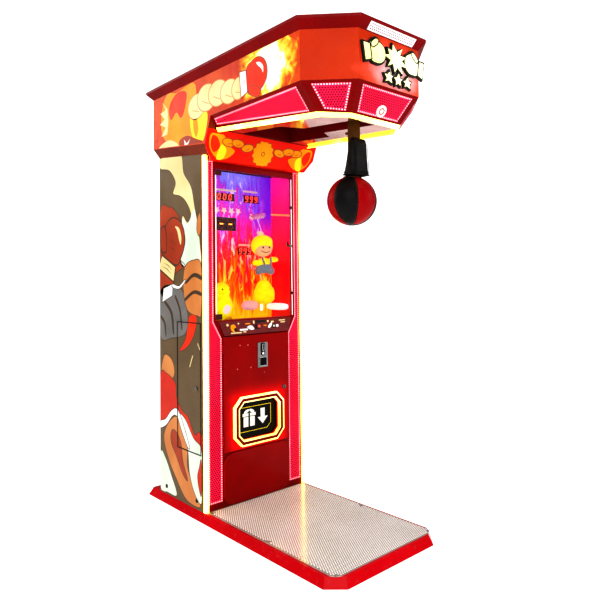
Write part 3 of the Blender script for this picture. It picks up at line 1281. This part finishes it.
def hexagonal(polygon, pitch, margin):
    """Points of a hexagonal grid inside an outline, away from its sides."""
    xs, ys = [p[0] for p in polygon], [p[1] for p in polygon]
    row_step = pitch * math.sqrt(3) / 2
    made = []
    for j in range(int((max(ys) - min(ys)) / row_step) + 2):
        y = min(ys) + j * row_step
        for i in range(int((max(xs) - min(xs)) / pitch) + 2):
            x = min(xs) + i * pitch + (pitch / 2 if j % 2 else 0.0)
            if inside((x, y), polygon) and edge_gap((x, y), polygon) > margin:
                made.append((x, y))
    return made


def border_row(polygon, pitch, margin):
    """Evenly spaced points along an outline, a margin inside it."""
    line = [quad[3] for quad in stroke(polygon, 2 * margin)]
    made = []
    for a, b in zip(line, line[1:] + line[:1]):
        steps = max(1, round(math.dist(a, b) / pitch))
        made += [tuple(Vector(a).lerp(Vector(b), k / steps)) for k in range(steps)]
    return made


def add_dots(bm, spots, place, radius, lift, sides=6, dome=0.0):
    """Small closed discs or domes on a surface."""
    for u, v in spots:
        rim = []
        low = []
        for k in range(sides):
            a = 2 * math.pi * (k + 0.5) / sides
            low.append(bm.verts.new(place(u + radius * math.cos(a), v + radius * math.sin(a),
                                          0.00005)))
            rim.append(bm.verts.new(place(u + radius * 0.86 * math.cos(a),
                                          v + radius * 0.86 * math.sin(a), lift)))
        bridge(bm, low, rim)
        bm.faces.new(low)
        if dome:
            tip = bm.verts.new(place(u, v, lift + dome))
            for k in range(sides):
                bm.faces.new((rim[k], rim[(k + 1) % sides], tip))
        else:
            bm.faces.new(rim)


def flat_faces(name, outward, least=0.001):
    """For each island of a CAD node, the outline of its flat face turned most outward."""
    bm = bmesh.new()
    bm.from_mesh(nodes[name].data)
    bmesh.ops.remove_doubles(bm, verts=bm.verts, dist=1e-6)
    seen, islands = set(), []
    for face in bm.faces:
        if face in seen:
            continue
        stack, island = [face], []
        seen.add(face)
        while stack:
            one = stack.pop()
            island.append(one)
            for edge in one.edges:
                for other in edge.link_faces:
                    if other not in seen:
                        seen.add(other)
                        stack.append(other)
        islands.append(island)
    made = []
    for island in islands:
        best, found = 0.0, None
        for face in island:
            normal = face.normal
            area = sum(f.calc_area() for f in island if f.normal.dot(normal) > 0.999)
            if area > best + 1e-9 and outward(face) > 0.1:
                best, found = area, normal.copy()
        if best < least:
            continue
        chosen = [f for f in island if f.normal.dot(found) > 0.999]
        origin = chosen[0].verts[0].co.copy()
        v_axis = (Vector((0, 0, 1)) - found * found.z).normalized()
        u_axis = v_axis.cross(found).normalized()
        flat = {}
        for f in chosen:
            for vert in f.verts:
                flat[vert.index] = ((vert.co - origin).dot(u_axis), (vert.co - origin).dot(v_axis))
        made.append((plane_place(origin, u_axis, v_axis, found),
                     corners_only(loop_outline(chosen, flat))))
    bm.free()
    return made


def loop_outline(chosen, flat):
    """The outer outline of a set of faces, in the plane's own coordinates."""
    members = set(chosen)
    follow = {}
    for face in chosen:
        for loop in face.loops:
            if sum(other in members for other in loop.edge.link_faces) == 1:
                follow[loop.vert.index] = loop.link_loop_next.vert.index
    start = next(iter(follow))
    made, at = [], start
    for _ in range(len(follow) + 1):
        made.append(flat[at])
        at = follow[at]
        if at == start:
            break
    return made


def corners_only(outline):
    """Drop the points that lie on a straight run."""
    made = []
    count = len(outline)
    for i in range(count):
        a, b, c = (Vector(outline[(i + k) % count]) for k in (-1, 0, 1))
        if abs((b - a).normalized().cross((c - b).normalized())) > 0.01:
            made.append(tuple(b))
    return made


mesh_hole = paint("MeshHole", (0.05, 0.0002, 0.002), (0.10, 0.0004, 0.004), rough=(0.5, 0.7),
                 scratch=0.0)
lit_hole = paint("MeshLit", (0.95, 0.36, 0.42), (1.0, 0.60, 0.62), rough=(0.4, 0.5), scratch=0.0,
                 glow=0.5)
lens_hole = paint("LensHole", (0.26, 0.13, 0.17), (0.38, 0.22, 0.27), rough=(0.4, 0.5), scratch=0.0)


def perforate(name, outward, pitch, radius, margin, border=True):
    """Rows of holes on a sheet; light from behind shows through the outermost ones."""
    dark, pale = bmesh.new(), bmesh.new()
    for place, outline in flat_faces(name, outward):
        if border:
            add_dots(pale, border_row(outline, pitch, margin), place, radius, 0.0002)
        add_dots(dark, hexagonal(outline, pitch, margin + 0.8 * pitch * border), place, radius,
                 0.0002)
    add_mesh(f"{name}_holes", dark, mesh_hole if border else lens_hole, "cabinet")
    if border:
        add_mesh(f"{name}_lit_holes", pale, lit_hole, "cabinet")
    else:
        pale.free()


def forward(face):
    return -face.normal.y


def off_the_skirt(face):
    return face.normal.dot(face.calc_center_median() - SKIRT_MIDDLE)


SKIRT_MIDDLE = Vector((0, -0.25, 2.1))
HOLE_PITCH, MESH_HOLE, MESH_MARGIN, LENS_HOLE, LENS_MARGIN = 0.0118, 0.0041, 0.0052, 0.0036, 0.006
perforate("front_mesh_panels", forward, HOLE_PITCH, MESH_HOLE, MESH_MARGIN)
perforate("skirt_mesh_panels", off_the_skirt, HOLE_PITCH, MESH_HOLE, MESH_MARGIN)
perforate("front_light_panel", forward, HOLE_PITCH, LENS_HOLE, LENS_MARGIN, border=False)


# ---------------------------------------------------------------- studs of the tread plate
def make_studs():
    """Low round studs in hexagonal rows, left out round the screws."""
    low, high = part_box("tread_plate")
    radius = 0.045  # of the plate's front corners
    pitch, margin, stud_radius, stud_lift, stud_dome, screw_room = (
        0.0112, 0.0065, 0.0044, 0.0007, 0.0004, 0.0125)
    outline = [(low.x, high.y), (low.x, low.y + radius)]
    outline += [(low.x + radius - radius * math.cos(a), low.y + radius - radius * math.sin(a))
                for a in (math.pi / 2 * k / 8 for k in range(9))]
    outline += [(-x, y) for x, y in reversed(outline[1:])] + [(high.x, high.y)]
    spots = hexagonal(outline, pitch, margin)
    screws = []
    for vertex in nodes["tread_plate_screws"].data.vertices:
        if all((Vector(vertex.co.xy) - s).length > 0.03 for s in screws):
            screws.append(Vector(vertex.co.xy))
    spots = [p for p in spots if all((Vector(p) - s).length > screw_room for s in screws)]
    place = plane_place((0, 0, high.z), (1, 0, 0), (0, 1, 0), (0, 0, 1))
    bm = bmesh.new()
    add_dots(bm, spots, place, stud_radius, stud_lift, dome=stud_dome)
    stud = paint("TreadStud", (0.90, 0.85, 0.81), (0.98, 0.94, 0.91), rough=(0.34, 0.40), gloss=0.4,
                 metal=0.1, scratch=0.05)
    add_mesh("tread_plate_studs", bm, stud, "cabinet")


make_studs()


# ---------------------------------------------------------------- details of doors and strip
def domed_heads(name, spots, place, radius, height, material, body):
    bm = bmesh.new()
    for u, v in spots:
        add_dots(bm, [(u, v)], place, radius, height * 0.55, sides=14, dome=height * 0.45)
    add_mesh(name, bm, material, body)


door_place = front_at(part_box("lower_door_panel")[0].y)
domed_heads("lower_door_screws", [(-0.115, 0.866), (-0.065, 0.864), (-0.132, 0.743),
                                  (-0.047, 0.743),
                                  (0.041, 0.709)], door_place, 0.0042, 0.002,
            paint("ScrewRed", (0.50, 0.05, 0.04), (0.70, 0.20, 0.16), rough=(0.2, 0.3), metal=0.4),
            "lower_door")
for side, place in (("left", left_place), ("right", right_place)):
    domed_heads(f"{side}_side_bolts", [(0.628, 0.087), (0.308, 0.088)], place, 0.011, 0.006,
                finishes["fan_black"], "cabinet")
flap_place = front_at(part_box("prize_flap")[0].y)


def flap_print(name, outlines, lift, thick, tone):
    flat_piece(f"prize_flap_{name}", outlines, flap_place, lift, thick, ink[tone],
               "prize_outlet_flap")


flap_edge = [(-0.112, 0.404), (0.066, 0.404), (0.092, 0.430), (0.092, 0.532), (-0.112, 0.532)]
GIFT_X = -0.050
arrow = [(0.024, 0.514), (0.052, 0.514), (0.052, 0.468), (0.072, 0.468), (0.038, 0.430),
         (0.004, 0.468), (0.024, 0.468)]
flap_print("outline", stroke(flap_edge, 0.0026), PRINT_GAP, 0.0004, "yellow")
flap_print("gift", [box_outline(GIFT_X, 0.455, 0.036, 0.026, 0.003),
                    box_outline(GIFT_X, 0.492, 0.042, 0.008, 0.002)], PRINT_GAP, 0.0005, "white")
flap_print("ribbon", [box_outline(GIFT_X, 0.464, 0.005, 0.036, 0.002)], 0.0006, 0.0004, "black")
flap_print("bow", [ellipse(-0.067, 0.510, 0.018, 0.008, 0.45, 24),
                   ellipse(-0.033, 0.510, 0.018, 0.008, -0.45, 24), arrow],
           PRINT_GAP, 0.0005, "white")

# coin plate: moulded surrounds of the slot, the button and the return cup
coin_low, coin_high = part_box("coin_entry_plate")
coin_place = front_at(coin_low.y)
coin_x = (coin_low.x + coin_high.x) / 2
SLOT_Z, REJECT_Z, RETURN_Z = 0.844, 0.812, 0.768
surrounds = stroke(box_outline(coin_x, SLOT_Z, 0.0085, 0.0205, 0.004), 0.008)
surrounds += stroke(ellipse(coin_x, REJECT_Z, 0.0105, 0.0105, count=28), 0.003)
surrounds += stroke(box_outline(coin_x, RETURN_Z, 0.0205, 0.0195, 0.003), 0.0045)
flat_piece("coin_plate_surrounds", surrounds, coin_place, 0.0002, 0.0022, finishes["black_acrylic"],
           "lower_door")
lips = stroke(box_outline(coin_x, SLOT_Z, 0.0052, 0.0172, 0.002), 0.0018)
lips += stroke(box_outline(coin_x, RETURN_Z, 0.0232, 0.0222, 0.004), 0.0012)
flat_piece("coin_plate_lips", lips, coin_place, 0.0002, 0.0030, finishes["chrome"], "lower_door")

# control strip: plain pictograms round the button
strip_low, strip_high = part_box("control_strip")
strip_top_front = Vector((0, strip_high.y, strip_high.z))
strip_down = Vector((0, strip_low.y - strip_high.y, strip_low.z - strip_high.z)).normalized()
strip_out = Vector((0, strip_down.z, -strip_down.y)).normalized()
strip_out = strip_out if strip_out.y < 0 else -strip_out
strip_place = plane_place(strip_top_front, (1, 0, 0), -strip_down, strip_out)
button = centre_of("start_button")
icons = {
    "cream": [ellipse(-186, -20, 7, 7), ellipse(-118, -16, 5, 5), box_outline(-20, -14, 5, 8, 2),
              ellipse(74, -14, 6, 6), box_outline(104, -18, 9, 4, 2),
              box_outline(172, -13, 22, 3, 1.4),
              box_outline(176, -24, 16, 3, 1.4), box_outline(-136, -64, 34, 3.2, 1.5),
              box_outline(-84, -62, 10, 3.2, 1.5)],
    "white": [box_outline(-88, -50, 26, 5, 2), box_outline(-40, -44, 12, 5, 2),
              rounded([(-66, -38), (-40, -30), (-20, -50), (-44, -54)]),
              rounded([(82, -30), (100, -22), (96, -40), (80, -52), (70, -46)]),
              box_outline(134, -42, 9, 7, 2)],
    "orange": [ellipse(-152, -38, 17, 20, 0.3), box_outline(-60, -20, 16, 3, 1.5),
               box_outline(52, -36, 10, 3, 1.5)],
    "black": [ellipse(-140, -46, 9, 9), ellipse(112, -42, 13, 12), box_outline(24, -12, 34, 6, 2),
              box_outline(-8, -38, 9, 14, 3)],
    "mint": [ellipse(112, -42, 6, 6)],
}
for level, (tone, shapes) in enumerate(icons.items()):
    flat_piece(f"strip_icons_{tone}", [in_metres(shape) for shape in shapes], strip_place,
               PRINT_GAP + 0.0001 * level, 0.0001, ink[tone], "cabinet")
ring = ellipse(button.x, (strip_high.z - button.z) * -1.012, 0.0135, 0.0135)
flat_piece("start_button_ring", stroke(ring, 0.004), strip_place, 0.0002, 0.0012,
           finishes["fan_black"], "cabinet")

# ---------------------------------------------------------------- badge on the skirt
SKIRT = 0.69
badge_z = 1.937
skirt_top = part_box("head_nose_panels")[0]
badge_place = plane_place((0.003, skirt_top.y + SKIRT * (skirt_top.z - badge_z), badge_z),
                          (1, 0, 0),
                          Vector((0, -SKIRT, 1)).normalized(), (0, -1, -SKIRT))
flat_piece("skirt_badge", [ellipse(0, 0, 0.027, 0.027)], badge_place, -0.002, 0.006, ink["white"],
           "cabinet")
flat_piece("skirt_badge_ring", stroke(ellipse(0, 0, 0.013, 0.013), 0.005), badge_place, 0.004,
           0.0006, ink["fire"],
           "cabinet")

# ---------------------------------------------------------------- inside the prize bay
digit_lit = paint("DigitLit", (1.0, 0.05, 0.04), rough=(0.3, 0.4), glow=2.6, scratch=0.0)
digit_dim = paint("DigitDim", (0.16, 0.006, 0.010), rough=(0.2, 0.3), scratch=0.0)
dash_lit = paint("DashLit", (1.0, 0.30, 0.03), rough=(0.3, 0.4), glow=2.4, scratch=0.0)
SEGMENTS = {"8": "abcdefg", "0": "abcdef", "9": "abcdfg", "-": "g"}
SEGMENT_ENDS = {  # two corners as (column, row)
    "a": ((0, 2), (1, 2)), "b": ((1, 1), (1, 2)), "c": ((1, 0), (1, 1)), "d": ((0, 0), (1, 0)),
    "e": ((0, 0), (0, 1)), "f": ((0, 1), (0, 2)), "g": ((0, 1), (1, 1)),
}
display_place = front_at(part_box("score_displays")[0].y)


def bar(x0, z0, x1, z1, half):
    """One six-sided bar of a digit."""
    a, b = Vector((x0, z0)), Vector((x1, z1))
    along = (b - a).normalized()
    side = Vector((-along.y, along.x)) * half
    a, b = a + along * half * 0.35, b - along * half * 0.35
    points = (a, a + along * half + side, b - along * half + side, b, b - along * half - side,
              a + along * half - side)
    return [tuple(p) for p in points]


def digits(name, text, x, z, pitch, height, lit):
    """Seven-segment digits in a row, with the unlit segments just showing."""
    width = height * 0.50
    half = height * 0.062
    bright, dim = [], []
    for i, letter in enumerate(text):
        middle = x + pitch * i
        corners = {}
        for row, v in enumerate((-0.5, 0.0, 0.5)):
            for column, u in enumerate((-0.5, 0.5)):
                corners[(column, row)] = (middle + u * width + 0.12 * v * height, z + v * height)
        for key, (a, b) in SEGMENT_ENDS.items():
            shape = bar(*corners[a], *corners[b], half)
            (bright if key in SEGMENTS[letter] else dim).append(shape)
    flat_piece(f"{name}_lit", bright, display_place, 0.0006, 0.0006, lit, "cabinet")
    if dim:
        flat_piece(f"{name}_dim", dim, display_place, 0.0006, 0.0003, digit_dim, "cabinet")


for name, reading, x, z, pitch, height, lit in (
        ("record", "8000", -0.104, 1.690, 0.037, 0.031, digit_lit),
        ("punch", "999", 0.122, 1.690, 0.033, 0.031, digit_lit),
        ("score", "---", -0.112, 1.534, 0.060, 0.056, dash_lit),
        ("small", "999", 0.076, 1.380, 0.031, 0.032, digit_lit)):
    digits(f"digits_{name}", reading, x, z, pitch, height, lit)
bay_low, bay_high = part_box("backdrop_panel")
bay_place = front_at(bay_low.y)
labels = [box_outline(-0.034, 1.730, 0.086, 0.0055, 0.003),
          box_outline(0.150, 1.735, 0.052, 0.0055, 0.003),
          box_outline(0.107, 1.416, 0.042, 0.005, 0.003)]
labels += [burst(-0.128 + 0.048 * i, 1.613, 0.023, 0.023, 5, 0.48, i, 0.3) for i in range(5)]
flat_piece("bay_labels", labels, bay_place, 0.0002, 0.0008, ink["white"], "cabinet")
wall_print = paint("BayWallPrint", (0.7, 0.0, 0.05), rough=(0.06, 0.14), colour=wall_colour,
                   glow=0.62, scratch=0.0, gloss=0.3)
bay_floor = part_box("prize_chute")[1].z
frame_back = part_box("tower_front_frame")[1].y
WALL_PRINT, WALL_GAP = 0.0015, 0.0001
walls = bmesh.new()
for side in (-1, 1):
    a, b = side * (bay_high.x - WALL_PRINT), side * (bay_high.x - WALL_GAP)
    slab_mesh(walls, (min(a, b), frame_back + 0.002, bay_floor),
              (max(a, b), bay_low.y - 0.0005, bay_high.z), 0.0004)
add_mesh("bay_wall_prints", walls, wall_print, "cabinet")
streak = [[(0.504, 1.616), (0.264, 1.586), (0.264, 1.578), (0.504, 1.606)]]
streak_place = side_at(bay_high.x - 0.0017, -1)
streak_lit = paint("StreakLit", (1.0, 0.28, 0.05), rough=(0.3, 0.4), scratch=0.0, glow=0.8)
flat_piece("bay_wall_streak", streak, streak_place, PRINT_GAP, 0.0004, streak_lit, "cabinet")
tube_light = paint("BayTube", (0.95, 0.93, 0.95), rough=(0.3, 0.4), scratch=0.0, glow=2.6)
tubes = bmesh.new()
tube_y = frame_back + 0.014
runs = [[(side * 0.288, tube_y, 1.03 + 0.78 * k / 12) for k in range(13)] for side in (-1, 1)]
runs.append([(-0.25 + 0.5 * k / 12, tube_y, 1.845) for k in range(13)])
for run in runs:
    tube(tubes, run, 0.006, 12)
add_mesh("bay_light_tubes", tubes, tube_light, "cabinet", True)
glass_low, glass_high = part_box("window_glass")
edge_strip = bmesh.new()
EDGE_INSET, EDGE_WIDTH = 0.005, 0.0045
for side in (-1, 1):
    inner = glass_high.x - EDGE_INSET
    a, b = side * inner, side * (inner + EDGE_WIDTH)
    slab_mesh(edge_strip, (min(a, b), glass_low.y - 0.0009, glass_low.z + 0.002),
              (max(a, b), glass_low.y - 0.0002, glass_high.z - 0.002), 0.0002)
glass_edge = paint("GlassEdge", (0.90, 0.72, 0.78), (1.0, 0.86, 0.90), rough=(0.2, 0.3), glow=0.6,
                   scratch=0.0)
add_mesh("window_edge_trim", edge_strip, glass_edge, "window_door")


# ---------------------------------------------------------------- studio
FLOOR_REACH = 12


def studio():
    """A plain pale floor, a plain sky and five soft lights."""
    floor_mesh = bmesh.new()
    slab_mesh(floor_mesh, (-FLOOR_REACH, -FLOOR_REACH, -0.05), (FLOOR_REACH, FLOOR_REACH, 0.0))
    mesh = bpy.data.meshes.new("StudioFloor")
    floor_mesh.to_mesh(mesh)
    floor_mesh.free()
    floor = bpy.data.objects.new("StudioFloor", mesh)
    bpy.context.scene.collection.objects.link(floor)
    pale = paint("FloorPale", (0.50, 0.50, 0.50), (0.54, 0.54, 0.54), rough=(0.6, 0.75), gloss=0.1,
                 scratch=0.0, bump=0.0, glow=0.80, glow_colour=lambda *_: (1.0, 1.0, 1.0))
    mesh.materials.append(pale)
    world = bpy.data.worlds.new("Studio")
    bpy.context.scene.world = world
    world.use_nodes = True
    tree = world.node_tree
    sky = tree.nodes["Background"]
    sees = node(tree, "ShaderNodeLightPath")
    tone = mix(tree, sees, (0.27, 0.27, 0.28), (1.0, 1.0, 1.0))
    put(tree, sky.inputs["Color"], tone)
    sky.inputs["Strength"].default_value = 1.0
    lights = (  # name, place, target, size, power, colour
        ("KeyLight", (-3.6, -3.4, 3.4), (-0.1, -0.1, 1.2), 2.6, 85.0, (1.0, 0.98, 0.96)),
        ("FillLight", (2.9, -3.6, 2.6), (0.0, 0.0, 1.2), 2.4, 34.0, (1.0, 0.99, 0.98)),
        ("BackLight", (-2.4, 3.4, 3.2), (0.0, 0.2, 1.4), 2.2, 40.0, (0.98, 0.99, 1.0)),
        ("LowLight", (-1.6, -3.8, 0.7), (0.0, -0.3, 1.0), 1.4, 9.0, (1.0, 0.98, 0.96)),
        ("TopLight", (0.3, -0.6, 4.6), (0.0, -0.3, 0.0), 3.0, 75.0, (1.0, 1.0, 1.0)),
    )
    for name, place, target, size, power, colour in lights:
        lamp = bpy.data.lights.new(name, "AREA")
        lamp.size = size
        lamp.energy = power
        lamp.color = colour
        obj = bpy.data.objects.new(name, lamp)
        obj.location = place
        obj.rotation_euler = (Vector(target) - Vector(place)).to_track_quat("-Z", "Y").to_euler()
        bpy.context.scene.collection.objects.link(obj)


studio()


def add_camera():
    """The photograph's view: from the machine's front left corner, a little above its middle."""
    yaw, pitch, roll = (math.radians(a) for a in (-43.94, 2.17, -0.82))
    ahead = Vector((-math.sin(yaw) * math.cos(pitch), math.cos(yaw) * math.cos(pitch),
                    math.sin(pitch)))
    right = Vector((math.cos(yaw), math.sin(yaw), 0))
    up = right.cross(ahead)
    turned_right = right * math.cos(roll) + up * math.sin(roll)
    turned_up = up * math.cos(roll) - right * math.sin(roll)
    data = bpy.data.cameras.new("Camera")
    data.sensor_width = 36.0
    data.lens = 35.661
    data.shift_x = -0.0756
    data.shift_y = -0.0731
    data.clip_end = 60.0
    camera = bpy.data.objects.new("Camera", data)
    matrix = Matrix((turned_right, turned_up, -ahead)).transposed().to_4x4()
    matrix.translation = Vector((-1.89594, -2.44519, 1.20980))
    camera.matrix_world = matrix
    bpy.context.scene.collection.objects.link(camera)
    bpy.context.scene.camera = camera


add_camera()
bpy.context.scene.view_settings.view_transform = "Standard"
bpy.context.scene.view_settings.look = "High Contrast"
